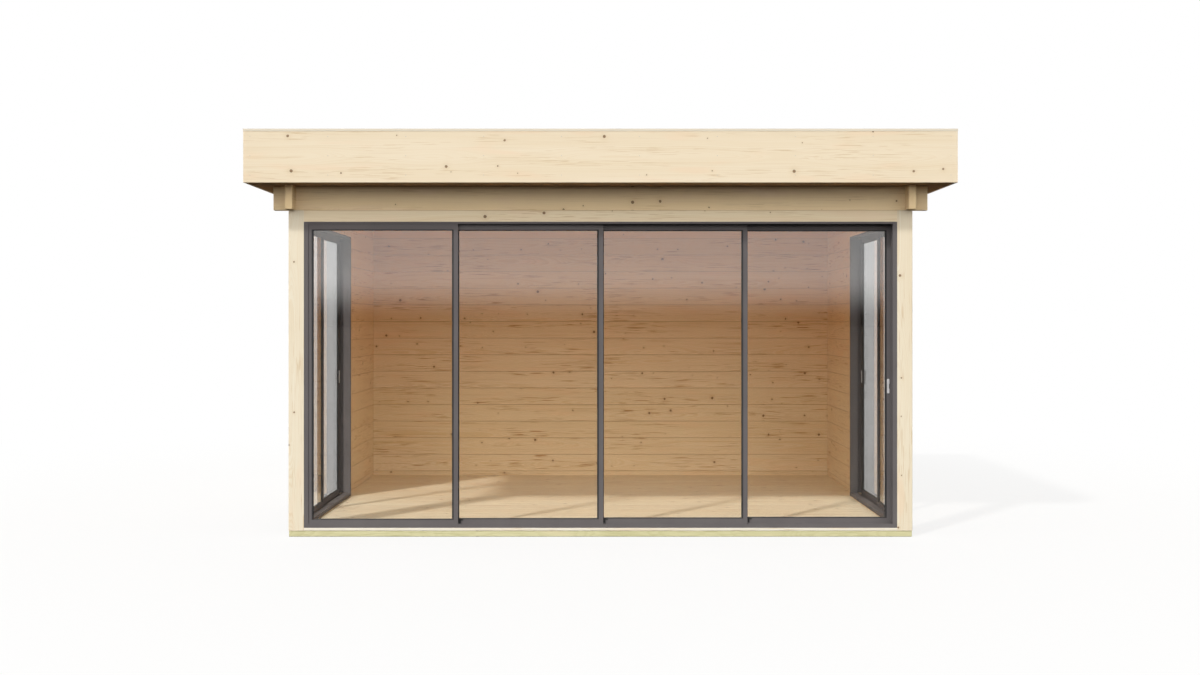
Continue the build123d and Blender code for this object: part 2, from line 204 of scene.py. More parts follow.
# Solid spruce: rings round a pith that wanders behind each board, and knots that bend them
def buildSpruceGrain():
    tree, given, out = groupTree(
        "spruceGrain",
        "ShaderNodeTree",
        [
            ("Place", "Vector", None),
            ("Facing", "Vector", None),
            ("Board", "Float", 0.0),
            ("RingWidth", "Float", 0.003),
            ("PithDepth", "Float", 0.11),
            ("KnotSpacing", "Float", 0.16),
            ("KnotSize", "Float", 0.009),
            ("KnotShare", "Float", 0.5),
        ],
        [(name, "Float") for name in grainParts],
    )
    picks = split(tree, whiteNoise(tree, given["Board"])["Color"])
    place = split(tree, given["Place"])
    facing = split(tree, given["Facing"])
    along = timesPlus(tree, picks[0], wood["boardShift"], place[0])
    solid = join(tree, along, place[1], place[2])

    # the pith, off to one side and behind the face
    drift = noise(tree, times(tree, along, 0.9), kind="1D", detail=1.0)
    sink = noise(tree, timesPlus(tree, along, 0.7, 61.0), kind="1D", detail=1.0)
    acrossPith = timesPlus(tree, picks[1], wood["pithSpread"], plus(tree, place[1], wood["pithStart"]))
    acrossPith = timesPlus(tree, drift, wood["pithDrift"], acrossPith)
    depth = times(tree, plus(tree, picks[2], wood["pithLeast"]), given["PithDepth"])
    side = timesPlus(tree, calc(tree, "GREATER_THAN", picks[1], 0.5), 2.0, -1.0)
    deepPith = timesPlus(tree, depth, side, place[2])
    deepPith = timesPlus(tree, sink, wood["pithSink"], deepPith)

    # knots lie on the face's own two directions
    sideways = calc(tree, "GREATER_THAN", magnitude(tree, facing[1]), 0.7)
    upright = times(tree, place[1], minus(tree, 1.0, sideways))
    faceAcross = plus(tree, times(tree, place[2], sideways), upright)
    faceAcross = timesPlus(tree, given["Board"], wood["faceShift"], faceAcross)
    spot = join(
        tree, over(tree, along, given["KnotSpacing"]), over(tree, faceAcross, given["KnotSpacing"]), 0.0
    )
    cells = addNode(
        tree, "ShaderNodeTexVoronoi", {"Vector": spot, "Scale": 1.0}, voronoi_dimensions="2D", feature="F1"
    )
    draw = split(tree, cells.outputs["Color"])
    away = times(tree, cells.outputs["Distance"], given["KnotSpacing"])
    wobble = noise(tree, given["Place"], scale=wood["knotRagged"], detail=1.0)
    away = times(tree, away, timesPlus(tree, wobble, 0.5, 0.75))
    present = calc(tree, "LESS_THAN", draw[1], given["KnotShare"])
    size = times(tree, given["KnotSize"], timesPlus(tree, calc(tree, "POWER", draw[0], 2.0), 0.9, 0.35))
    near = over(tree, away, size)
    bulge = calc(tree, "EXPONENT", times(tree, times(tree, near, near), wood["knotBulge"]))
    bulge = times(tree, bulge, present)
    end = ramp(tree, magnitude(tree, facing[0]), *wood["endFacing"])
    flat = minus(tree, 1.0, end)
    knot = times(tree, times(tree, ramp(tree, near, 1.12, 0.9), present), flat)
    fromBark = times(tree, magnitude(tree, minus(tree, near, wood["barkMiddle"])), wood["barkThin"])
    bark = calc(tree, "SUBTRACT", 1.0, fromBark, clamp=True)
    bark = times(tree, times(tree, bark, present), flat)

    # rings, wide and narrow years together
    squares = plus(tree, calc(tree, "POWER", acrossPith, 2.0), calc(tree, "POWER", deepPith, 2.0))
    radius = calc(tree, "SQRT", squares)
    radius = timesPlus(tree, noise(tree, stretch(tree, solid, wood["waves"])), wood["waveDepth"], radius)
    radius = plus(tree, radius, times(tree, times(tree, bulge, size), wood["bend"]))
    years = noise(tree, times(tree, radius, wood["years"]), kind="1D")
    turn = timesPlus(tree, years, wood["yearsApart"], over(tree, radius, given["RingWidth"]))
    part = calc(tree, "FRACT", turn)
    ring = times(tree, ramp(tree, part, 0.3, 0.86), ramp(tree, part, 1.0, 0.9))

    # slow changes of tone from year to year, along the board and from board to board
    shade = noise(
        tree, timesPlus(tree, given["Board"], 3.3, times(tree, radius, 38.0)), kind="1D", detail=3.0
    )
    cloud = noise(tree, stretch(tree, solid, wood["clouds"]), detail=3.0)
    shade = timesPlus(tree, cloud, 0.45, times(tree, shade, 0.3))
    shade = timesPlus(tree, whiteNoise(tree, plus(tree, given["Board"], 0.5))["Value"], 0.25, shade)
    reddish = [
        times(tree, value, count) for value, count in zip((along, place[1], place[2]), wood["blushes"])
    ]
    blush = ramp(tree, noise(tree, join(tree, *reddish)), 0.56, 0.72)

    # dark dashes a few millimetres high, in loose clusters, and fine stripes beside them
    longWay = timesPlus(tree, noise(tree, times(tree, along, 1.3), kind="1D"), 0.004, faceAcross)

    def strokes(counts, third=0.0, kind="2D"):
        stretched = join(tree, times(tree, along, counts[0]), times(tree, longWay, counts[1]), third)
        return noise(tree, stretched, detail=1.0, kind=kind)

    dashes = ramp(tree, strokes(wood["dashes"]), 0.61, 0.67)
    streak = times(tree, dashes, ramp(tree, strokes(wood["clusters"]), 0.5, 0.62))
    streak = larger(tree, streak, times(tree, ramp(tree, strokes(wood["longDashes"]), 0.68, 0.8), 0.7))
    streak = times(tree, streak, flat)
    ring = times(tree, ring, ramp(tree, strokes(wood["stripes"], 4.0, "3D"), 0.35, 0.65, 0.45, 1.25))
    fibre = noise(tree, stretch(tree, solid, wood["hairs"]))

    height = timesPlus(tree, ring, 0.45, times(tree, fibre, 0.4))
    height = timesPlus(tree, knot, 0.5, timesPlus(tree, bark, -0.8, height))
    values = (ring, shade, blush, streak, fibre, knot, bark, bulge, end, height)
    for label, value in zip(grainParts, values):
        tree.links.new(value, out[label])
    return tree


# Fine grit of powder coat, moulded plastic and roofing: colour fleck and height
def buildGrit():
    tree, given, out = groupTree(
        "grit",
        "ShaderNodeTree",
        [("Place", "Vector", None), ("Grain", "Float", 900.0), ("Spread", "Float", 3.0)],
        [("Fleck", "Float"), ("Cloud", "Float"), ("Height", "Float")],
    )
    fine = noise(tree, given["Place"], given["Grain"])
    wide = noise(tree, given["Place"], given["Spread"], detail=3.0)
    tree.links.new(ramp(tree, fine, 0.35, 0.65), out["Fleck"])
    tree.links.new(ramp(tree, wide, 0.35, 0.65), out["Cloud"])
    tree.links.new(fine, out["Height"])
    return tree


# Dust that lies on faces that look up and gathers near the ground
def buildDust():
    tree, given, out = groupTree(
        "dust",
        "ShaderNodeTree",
        [("Place", "Vector", None), ("Facing", "Vector", None), ("Amount", "Float", 0.3)],
        [("Mask", "Float")],
    )
    up = ramp(tree, split(tree, given["Facing"])[2], 0.3, 0.95)
    low = ramp(tree, split(tree, given["Place"])[2], 0.45, 0.02, 0.0, 0.35)
    patches = noise(tree, given["Place"], 7.0, detail=5.0, roughness=0.65)
    mask = times(tree, larger(tree, up, low), ramp(tree, patches, 0.3, 0.7, 0.35, 1.0))
    tree.links.new(times(tree, mask, given["Amount"], clamp=True), out["Mask"])
    return tree


spruceGrain = buildSpruceGrain()
grit = buildGrit()
dust = buildDust()

grainOrders = {"X": (0, 2, 1), "Y": (1, 2, 0), "Z": (2, 0, 1)}
spruce = {
    "pale": (0.82, 0.725, 0.575),
    "warm": (0.79, 0.68, 0.51),
    "blush": (0.83, 0.645, 0.47),
    "late": (0.66, 0.49, 0.27),
    "streak": (0.56, 0.39, 0.20),
    "knot": (0.24, 0.14, 0.07),
    "bark": (0.13, 0.08, 0.045),
    "ringWidth": 0.0031,
    "ringStrength": 0.24,
    "streakStrength": 0.5,
    "knotSpacing": 0.21,
    "knotSize": 0.0088,
    "knotShare": 0.55,
    # painted shade: width and strength of the dark lines along the joints of logs and the edges of boards
    "seamWidth": 0.0035,
    "seamStrength": 0.5,
    "room": False,
    "roomHalf": (2.094, 1.534),
    "roomRise": (0.5, 1.8),
    # painted light: warm tints for the dim light that reaches the room through the glass, one low and one
    # high
    "roomTone": (1.04, 0.93, 0.76),
    "roomHigh": (1.15, 0.94, 0.77),
    # painted shade for faces outside the room, plain 1.0 unless a finish darkens it
    "outerTone": (1.0, 1.0, 1.0),
    "outerStreak": 0.5,
    "endTone": (0.95, 0.90, 0.82),
    "boardLow": (0.95, 0.905, 0.87),
    "boardHigh": (1.02, 1.02, 1.02),
    "roughness": 0.56,
    "specular": 0.32,
    "bumpStrength": 0.35,
    "bumpHeight": 0.0006,
}


def spruceMaterial(name, grain, middle, course=(0.0, 10.0, 0), board=0.0, perBoard=0.0, **changes):
    look = {**spruce, **changes}
    made, tree, shader = newMaterial(name, look["roughness"], Specular_IOR_Level=look["specular"])
    source = tree.nodes.new("ShaderNodeTexCoord").outputs
    shifted = addNode(tree, "ShaderNodeVectorMath", {0: source["Object"], 1: middle}, operation="SUBTRACT")
    places, normals, order = split(
        tree, shifted.outputs[0]
    ), split(tree, source["Normal"]), grainOrders[grain]
    along, across, deep = (places[i] for i in order)
    facing = join(tree, *(normals[i] for i in order))
    bottom, height, rows = course
    if rows:
        row = calc(tree, "FLOOR", over(tree, minus(tree, across, bottom), height))
        row = calc(tree, "MINIMUM", larger(tree, row, -1.0), rows)
        across = minus(tree, across, timesPlus(tree, row, height, bottom + height / 2))
        board = plus(tree, row, board)
        fromJoint = minus(tree, height / 2, magnitude(tree, across))
        seam = ramp(tree, magnitude(tree, fromJoint), look["seamWidth"], look["seamWidth"] * 0.4)
    if perBoard:
        own = addNode(tree, "ShaderNodeAttribute", attribute_name="boardNumber").outputs["Fac"]
        middleOf = addNode(tree, "ShaderNodeAttribute", attribute_name="boardMiddle").outputs["Fac"]
        board = plus(tree, own, board)
        across, deep = deep, across
        facing = join(tree, *(normals[i] for i in (0, 1, 2)))
        across = minus(tree, across, middleOf)
        seam = ramp(tree, magnitude(tree, across), perBoard - 0.004, perBoard - 0.0008)
        own = whiteNoise(tree, plus(tree, board, 0.25))["Value"]
    seen = useGroup(
        tree,
        spruceGrain,
        Place=join(tree, along, across, deep),
        Facing=facing,
        Board=board,
        RingWidth=look["ringWidth"],
        KnotSpacing=look["knotSpacing"],
        KnotSize=look["knotSize"],
        KnotShare=look["knotShare"],
    )
    strength = look["streakStrength"]
    if look["room"]:
        plan = split(tree, source["Object"])
        sideways, backwards = (
            calc(tree, "LESS_THAN", magnitude(tree, plan[i]), look["roomHalf"][i]) for i in (0, 1)
        )
        inside = times(tree, sideways, backwards)
        strength = timesPlus(tree, inside, strength - look["outerStreak"], look["outerStreak"])
    colour = blend(tree, ramp(tree, seen["Shade"], 0.3, 0.7), look["pale"], look["warm"])
    for part, share, tone in (
        ("Blush", 0.45, "blush"),
        ("Ring", look["ringStrength"], "late"),
        ("Streak", strength, "streak"),
        ("Fibre", 0.12, "late"),
        ("Halo", 0.2, "streak"),
        ("Knot", 0.92, "knot"),
        ("Bark", 0.8, "bark"),
    ):
        colour = blend(tree, times(tree, seen[part], share), colour, look[tone])
    colour = blend(tree, seen["End"], colour, tinted(tree, colour, look["endTone"]))
    if perBoard:
        colour = tinted(tree, colour, blend(tree, own, look["boardLow"], look["boardHigh"]))
    # painted shade in the joints between logs; the same darkening marks the edges of floor and ceiling boards
    if rows or perBoard:
        colour = blend(tree, times(tree, seam, look["seamStrength"]), colour, look["streak"])
    # painted light and shade: faces inside the room take the warm tint of the light through the glass,
    # changing with height, and faces outside take the painted outer shade
    if look["room"]:
        inner = blend(tree, ramp(tree, plan[2], *look["roomRise"]), look["roomTone"], look["roomHigh"])
        colour = tinted(tree, colour, blend(tree, inside, look["outerTone"], inner))
    tree.links.new(colour, shader.inputs["Base Color"])
    rough = timesPlus(tree, seen["Ring"], -0.08, timesPlus(tree, seen["Fibre"], 0.1, look["roughness"]))
    tree.links.new(rough, shader.inputs["Roughness"])
    relief = {"Strength": look["bumpStrength"], "Distance": look["bumpHeight"], "Height": seen["Height"]}
    tree.links.new(addNode(tree, "ShaderNodeBump", relief).outputs[0], shader.inputs["Normal"])
    return made


def grittyMaterial(
    name, colour, second, roughness, grain, depth, dustAmount, dustColour=(0.42, 0.39, 0.35), **constants
):
    made, tree, shader = newMaterial(name, roughness, **constants)
    source = tree.nodes.new("ShaderNodeTexCoord").outputs
    texture = useGroup(tree, grit, Place=source["Object"], Grain=grain)
    lying = useGroup(tree, dust, Place=source["Object"], Facing=source["Normal"], Amount=dustAmount)["Mask"]
    mixed = timesPlus(tree, texture["Cloud"], 0.5, times(tree, texture["Fleck"], 0.5))
    tone = blend(tree, lying, blend(tree, mixed, colour, second), dustColour)
    tree.links.new(tone, shader.inputs["Base Color"])
    rough = timesPlus(tree, texture["Fleck"], 0.08, timesPlus(tree, lying, 0.3, roughness))
    tree.links.new(rough, shader.inputs["Roughness"])
    bump = addNode(tree, "ShaderNodeBump", {"Strength": 0.5, "Distance": depth, "Height": texture["Height"]})
    tree.links.new(bump.outputs[0], shader.inputs["Normal"])
    return made


# Boards and logs, each with its own way of the grain, its own middle and its own number of board
logCourse = (0.099, 0.153, 14)
timberMiddles = {"wallX": 2.117, "wallY": 1.557, "fasciaX": 2.376, "fasciaY": 1.816, "fasciaZ": 2.585}
paler = {"pale": (0.81, 0.745, 0.61), "warm": (0.785, 0.705, 0.555)}
palest = {"pale": (0.85, 0.82, 0.74), "warm": (0.83, 0.80, 0.70)}
# painted shade and light: the top logs, under the eaves, take a browner, warmer palette for their shade, and
# their end grain is painted lighter
paintedEavesShadeAndLight = {
    "pale": (0.845, 0.67, 0.42),
    "warm": (0.815, 0.62, 0.365),
    "blush": (0.82, 0.62, 0.44),
    "endTone": (1.04, 1.02, 0.98),
}
sideWall = {"streakStrength": 0.7, "streak": (0.43, 0.235, 0.10)}
walls = {
    "back": {**sideWall, "streakStrength": 0.9, "ringStrength": 0.4, "knotShare": 0.7, "knotSize": 0.0085},
    "front": {"pale": (0.84, 0.72, 0.53), "warm": (0.81, 0.67, 0.46)},
    "right": sideWall,
    "left": sideWall,
}
floorLook = {"roughness": 0.46, "knotShare": 0.8, "pale": (0.98, 0.90, 0.70), "warm": (0.96, 0.85, 0.63)}
# painted shade: the ceiling boards outside the room, the soffit, are darkened for the shade under the eaves
ceilingLook = {"room": True, "outerTone": (0.5, 0.35, 0.21)}
green = {
    "pale": (0.68, 0.645, 0.405),
    "warm": (0.60, 0.58, 0.33),
    "late": (0.45, 0.42, 0.19),
    "streak": (0.34, 0.33, 0.14),
    "knot": (0.22, 0.17, 0.07),
    "roughness": 0.72,
}
finishes = {}
for side, grain, x, y, wallBoard, topBoard, fasciaBoard in (
    ("back", "X", 0, 1, 3.0, 37.0, 94.0),
    ("front", "X", 0, -1, 23.0, 31.0, 91.0),
    ("right", "Y", 1, 0, 43.0, 47.0, 97.0),
    ("left", "Y", -1, 0, 63.0, 67.0, 99.0),
):
    ending = side.title()
    middle = (x * timberMiddles["wallX"], y * timberMiddles["wallY"], 0.0)
    finishes[side] = spruceMaterial(
        "planedSpruce" + ending, grain, middle, logCourse, wallBoard, room=True, **walls[side]
    )
    finishes[side + "Top"] = spruceMaterial(
        "planedSpruceTop" + ending, grain, middle, logCourse, topBoard, room=True, **paintedEavesShadeAndLight
    )
    middle = (x * timberMiddles["fasciaX"], y * timberMiddles["fasciaY"], timberMiddles["fasciaZ"])
    finishes[side + "Fascia"] = spruceMaterial(
        "planedSpruceFascia" + ending, grain, middle, board=fasciaBoard
    )
for key, name, grain, middle, board, changes in (
    ("rightPost", "planedSprucePostRight", "Z", (2.089, -1.525, 0.0), 83.0, paler),
    ("leftPost", "planedSprucePostLeft", "Z", (-2.089, -1.525, 0.0), 87.0, paler),
    ("sill", "planedSpruceSill", "X", (0.0, -1.525, 0.052), 89.0, palest),
    ("floor", "floorSpruce", "X", (0.0, 0.0, 0.051), 120.0, {"perBoard": 0.05593, **floorLook}),
    ("ceiling", "ceilingSpruce", "X", (0.0, 0.0, 2.415), 170.0, {"perBoard": 0.0478, **ceilingLook}),
    ("roof", "roofSpruce", "Y", (0.0, 0.0, 2.55), 230.0, {}),
    ("frontBeam", "impregnatedAcross", "X", (0.0, 0.0, 0.021), 301.0, green),
    ("sideBeam", "impregnatedAlong", "Y", (0.0, 0.0, 0.021), 307.0, green),
):
    finishes[key] = spruceMaterial(name, grain, middle, board=board, **changes)

thinCoat, satin = {"Specular_IOR_Level": 0.03}, {"Specular_IOR_Level": 0.45}
roofDust = {"dustColour": (0.17, 0.165, 0.155)}
for key, name, colour, second, roughness, grain, depth, dustAmount, changes in (
    (
        "anthracite", "anthracitePowderCoat", (0.122, 0.112, 0.116), (0.142, 0.131, 0.135),
        0.6, 1400.0, 0.00012, 0.16, thinCoat,
    ),
    (
        "trim", "creamCoatedTrim", (0.70, 0.635, 0.52), (0.74, 0.675, 0.555),
        0.4, 700.0, 0.0001, 0.25, satin,
    ),
    (
        "membrane", "mattRoofSheet", (0.045, 0.046, 0.05), (0.065, 0.066, 0.07),
        0.78, 420.0, 0.0007, 0.2, roofDust,
    ),
    (
        "handle", "satinAnodised", (0.87, 0.86, 0.885), (0.82, 0.81, 0.83),
        0.34, 2600.0, 0.00003, 0.04, {"Metallic": 0.3},
    ),
    ("nylon", "mouldedNylon", (0.03, 0.03, 0.032), (0.045, 0.045, 0.047), 0.5, 1200.0, 0.0001, 0.2, {}),
    ("rubber", "blackGasket", (0.018, 0.018, 0.02), (0.03, 0.03, 0.032), 0.62, 900.0, 0.0002, 0.12, {}),
    ("pile", "greyPile", (0.05, 0.05, 0.053), (0.09, 0.09, 0.095), 0.85, 1800.0, 0.0003, 0.2, {}),
    (
        "steel", "stainlessHead", (0.55, 0.54, 0.52), (0.47, 0.46, 0.45),
        0.35, 2200.0, 0.00004, 0.1, {"Metallic": 0.9},
    ),
):
    finishes[key] = grittyMaterial(name, colour, second, roughness, grain, depth, dustAmount, **changes)

pane = {
    "index": 1.96,
    "clear": (1.0, 1.0, 0.995),
    "filmed": (0.988, 0.992, 0.984),
    "lamps": (1.0, 0.99, 0.975, 1.0),
}


# Clear panes that let lamps through to the room
def glassMaterial():
    made, tree, shader = newMaterial("clearGlass", 0.0, IOR=pane["index"], Transmission_Weight=1.0)
    source = tree.nodes.new("ShaderNodeTexCoord").outputs
    film = noise(tree, source["Object"], scale=2.2, detail=4.0, roughness=0.6)
    tone = blend(tree, ramp(tree, film, 0.3, 0.75), pane["clear"], pane["filmed"])
    tree.links.new(tone, shader.inputs["Base Color"])
    path = tree.nodes.new("ShaderNodeLightPath").outputs
    passing = larger(tree, path["Is Shadow Ray"], path["Is Diffuse Ray"])
    through = addNode(tree, "ShaderNodeBsdfTransparent", {"Color": pane["lamps"]}).outputs[0]
    mixed = mixShaders(tree, passing, shader.outputs[0], through)
    tree.links.new(mixed, tree.nodes["Material Output"].inputs["Surface"])
    return made


finishes["glass"] = glassMaterial()
print("finishes", len(finishes))

finishesByEnding = {"_glass": "glass", "_handle": "handle", "_rollers": "nylon", "_frame": "anthracite"}
finishesByName = {
    "front_foundation_beam": "frontBeam",
    "back_foundation_beam": "frontBeam",
    "side_foundation_beams": "sideBeam",
    "floor_joists": "sideBeam",
    "roof_joists": "roof",
    "roof_deck": "roof",
    "roof_membrane": "membrane",
    "roof_edge_trim": "trim",
    "floor_boards": "floor",
    "ceiling_boards": "ceiling",
    "front_sill_board": "sill",
}


def finishOf(name):
    for ending, finish in finishesByEnding.items():
        if name.endswith(ending):
            return finish
    if "_door_" in name:
        return "anthracite"
    if name in finishesByName:
        return finishesByName[name]
    side = name.split("_")[0]
    for ending, kind in (("_fascia", "Fascia"), ("_top_log", "Top"), ("_front_post", "Post")):
        if name.endswith(ending):
            return side + kind
    return "right" if side == "side" else side


for name, node in nodes.items():
    finish = finishes[finishOf(name)]
    if not node.material_slots:
        node.data.materials.append(finish)
    for slot in node.material_slots:
        slot.material = finish
print("CAD nodes finished")


def newObject(name, data):
    made = bpy.data.objects.new(name, data)
    bpy.context.scene.collection.objects.link(made)
    return made


# Pieces: a mesh in its place, its finish and its body
def addPiece(name, mesh, finish, body):
    piece = newObject(name, mesh)
    mesh.name = name
    mesh.materials.clear()
    mesh.materials.append(finishes[finish])
    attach(piece, body)
    return piece


def meshOf(shape):
    mesh = bpy.data.meshes.new("shape")
    bmesh.ops.recalc_face_normals(shape, faces=shape.faces)
    shape.to_mesh(mesh)
    shape.free()
    return mesh


def grow(name, mesh, tree, values):
    holder = newObject(name, mesh)
    modifier = holder.modifiers.new("grow", "NODES")
    modifier.node_group = tree
    for item in tree.interface.items_tree:
        if item.item_type == "SOCKET" and item.in_out == "INPUT" and item.name in values:
            modifier[item.identifier] = values[item.name]
    graph = bpy.context.evaluated_depsgraph_get()
    made = bpy.data.meshes.new_from_object(holder.evaluated_get(graph), depsgraph=graph)
    bpy.data.objects.remove(holder)
    return made


# A skin over rings of corners, closed at both ends or going round to the first ring again
def skin(shape, loops, around=False):
    pairs = list(zip(loops[:-1], loops[1:]))
    if around:
        pairs.append((loops[-1], loops[0]))
    for one, two in pairs:
        for i in range(len(one)):
            following = (i + 1) % len(one)
            shape.faces.new((one[i], one[following], two[following], two[i]))
    if not around:
        shape.faces.new(loops[0])
        shape.faces.new(loops[-1])


def joinMeshes(meshes):
    shape = bmesh.new()
    for mesh in meshes:
        shape.from_mesh(mesh)
    made = bpy.data.meshes.new("joined")
    shape.to_mesh(made)
    shape.free()
    return made


# Boards side by side, with softened edges and a number for each
def buildBoardField():
    tree, given, out = groupTree(
        "boardField",
        "GeometryNodeTree",
        [
            ("Count", "Int", 10),
            ("Pitch", "Float", 0.1),
            ("Width", "Float", 0.1),
            ("Thickness", "Float", 0.018),
            ("Length", "Float", 4.0),
            ("Edge", "Float", 0.0015),
            ("First", "Vector", None),
            ("Number", "Int", 0),
            ("Finish", "Material", None),
        ],
        [("Geometry", "Geometry")],
    )
    sides = {"Width": given["Width"], "Height": given["Thickness"]}
    profile = built(tree, "CurvePrimitiveQuadrilateral", sides)
    softened = addNode(tree, "GeometryNodeFilletCurve", {"Curve": profile, "Radius": given["Edge"]})
    if "Mode" in softened.inputs:
        softened.inputs["Mode"].default_value = "Poly"
    else:
        softened.mode = "POLY"
    half = times(tree, given["Length"], 0.5)
    ends = {"Start": join(tree, times(tree, half, -1.0), 0.0, 0.0), "End": join(tree, half, 0.0, 0.0)}
    swept = {
        "Curve": built(tree, "CurvePrimitiveLine", ends),
        "Profile Curve": softened.outputs[0],
        "Fill Caps": True,
    }
    board = built(tree, "CurveToMesh", swept)
    line = {
        "Count": given["Count"],
        "Start Location": given["First"],
        "Offset": join(tree, 0.0, given["Pitch"], 0.0),
    }
    made = built(
        tree, "InstanceOnPoints", {"Points": built(tree, "MeshLine", line, mode="OFFSET"), "Instance": board}
    )
    number = plus(tree, built(tree, "InputIndex"), given["Number"])
    middle = split(tree, built(tree, "InputPosition"))[1]
    for label, value in (("boardNumber", number), ("boardMiddle", middle)):
        noted = {"Geometry": made, "Name": label, "Value": value}
        made = built(tree, "StoreNamedAttribute", noted, domain="INSTANCE")
    made = built(tree, "RealizeInstances", {"Geometry": made})
    made = built(tree, "SetShadeSmooth", {"Geometry": made, "Shade Smooth": False})
    made = built(tree, "SetMaterial", {"Geometry": made, "Material": given["Finish"]})
    tree.links.new(made, out["Geometry"])
    return tree


def enabled(sockets, label=None):
    return next(socket for socket in sockets if socket.enabled and label in (None, socket.name))


def randomValue(tree, least, most, seed):
    made = addNode(tree, "FunctionNodeRandomValue", data_type="FLOAT")
    for label, value in (("Min", least), ("Max", most), ("Seed", seed)):
        plug(tree, enabled(made.inputs, label), value)
    return enabled(made.outputs)


# One shape again and again along a line, in rows, with a small turn of its own
def buildRowOf():
    tree, given, out = groupTree(
        "rowOf",
        "GeometryNodeTree",
        [
            ("Geometry", "Geometry", None),
            ("Count", "Int", 10),
            ("First", "Vector", None),
            ("Step", "Vector", None),
            ("Rows", "Int", 1),
            ("RowStep", "Vector", None),
            ("Axis", "Vector", None),
            ("Turn", "Float", 0.0),
            ("Shrink", "Float", 0.0),
            ("Seed", "Int", 4),
            ("Finish", "Material", None),
        ],
        [("Geometry", "Geometry")],
    )
    starts = {"Count": given["Rows"], "Start Location": given["First"], "Offset": given["RowStep"]}
    rows = built(tree, "MeshLine", starts, mode="OFFSET")
    line = built(tree, "MeshLine", {"Count": given["Count"], "Offset": given["Step"]}, mode="OFFSET")
    spots = built(tree, "InstanceOnPoints", {"Points": rows, "Instance": line})
    angle = randomValue(tree, times(tree, given["Turn"], -1.0), given["Turn"], given["Seed"])
    turned = addNode(tree, "FunctionNodeAxisAngleToRotation", {"Axis": given["Axis"], "Angle": angle})
    copied = {
        "Points": built(tree, "RealizeInstances", {"Geometry": spots}),
        "Instance": given["Geometry"],
        "Rotation": turned.outputs[0],
        "Scale": randomValue(tree, minus(tree, 1.0, given["Shrink"]), 1.0, plus(tree, given["Seed"], 11.0)),
    }
    made = built(tree, "RealizeInstances", {"Geometry": built(tree, "InstanceOnPoints", copied)})
    made = built(tree, "SetMaterial", {"Geometry": made, "Material": given["Finish"]})
    tree.links.new(made, out["Geometry"])
    return tree


boardField = buildBoardField()
rowOf = buildRowOf()


def layBoards(name, field, finish):
    values = {"Edge": field["edge"], "Finish": finishes[finish]}
    for label in ("Count", "Pitch", "Width", "Thickness", "Length", "First", "Number"):
        values[label] = field[label.lower()]
    return grow(name, bpy.data.meshes.new(name), boardField, values)


# Floor: tongued boards across the room, narrower between the side doors
floorBoards = {"pitch": 0.11186, "gap": 0.0003, "edge": 0.0012, "stepLine": 0.102, "betweenDoors": 4.048}
low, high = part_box("floor_boards")
pitch, stepLine = floorBoards["pitch"], floorBoards["stepLine"]
frontCount = round((stepLine - low.y) / pitch)
backCount = int((high.y - stepLine) / pitch)
lastWidth = high.y - stepLine - backCount * pitch
fields = []
for count, firstY, width, length, number in (
    (frontCount, low.y + pitch / 2, pitch, floorBoards["betweenDoors"], 0),
    (backCount, stepLine + pitch / 2, pitch, high.x - low.x, frontCount),
    (1, high.y - lastWidth / 2, lastWidth, high.x - low.x, frontCount + backCount),
):
    field = {
        **floorBoards,
        "count": count,
        "width": width - floorBoards["gap"],
        "thickness": high.z - low.z,
        "length": length,
        "first": (0.0, firstY, (low.z + high.z) / 2),
        "number": number,
    }
    fields.append(layBoards("floorField", field, "floor"))
laidFloor = addPiece("floor_boards_laid", joinMeshes(fields), "floor", "pod")
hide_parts("floor_boards")
print("floor boards", frontCount + backCount + 1)

# Ceiling and soffit in one boarding, with open V joints underneath
ceilingBoards = {"count": 38, "gap": 0.0004, "edge": 0.0032}
low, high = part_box("ceiling_boards")
pitch = (high.y - low.y) / ceilingBoards["count"]
field = {
    **ceilingBoards,
    "pitch": pitch,
    "width": pitch - ceilingBoards["gap"],
    "thickness": high.z - low.z,
    "length": high.x - low.x,
    "first": (0.0, low.y + pitch / 2, (low.z + high.z) / 2),
    "number": 0,
}
laid = layBoards("ceilingField", field, "ceiling")
laidCeiling = addPiece("ceiling_boards_laid", laid, "ceiling", "pod")
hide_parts("ceiling_boards")
print("ceiling boards", ceilingBoards["count"])


# Glazing gaskets: a wedge of rubber round each pane, inside and outside; its cover over the frame is wider on
# the stiles, partly real gasket and partly painted shade of the glazing rebate
gasket = {
    "reach": 0.0045,
    "wedge": 0.0032,
    "shoulder": 0.0060,
    "bead": 0.0014,
    # painted shade: the wider black cover on the stiles stands in for part of the shade in the rebate
    "coverSide": 0.0075,
    "coverRail": 0.002,
    "proud": 0.0006,
    "lip": 0.0005,
    "sunk": 0.0016,
}
frontPanels = ("front_panel_1", "front_panel_2", "front_panel_3", "front_panel_4")
fixedSides = ("left_fixed_panel", "right_fixed_panel")
slidingSides = ("left_sliding_panel", "right_sliding_panel")
stile, rail = 0.038, 0.046


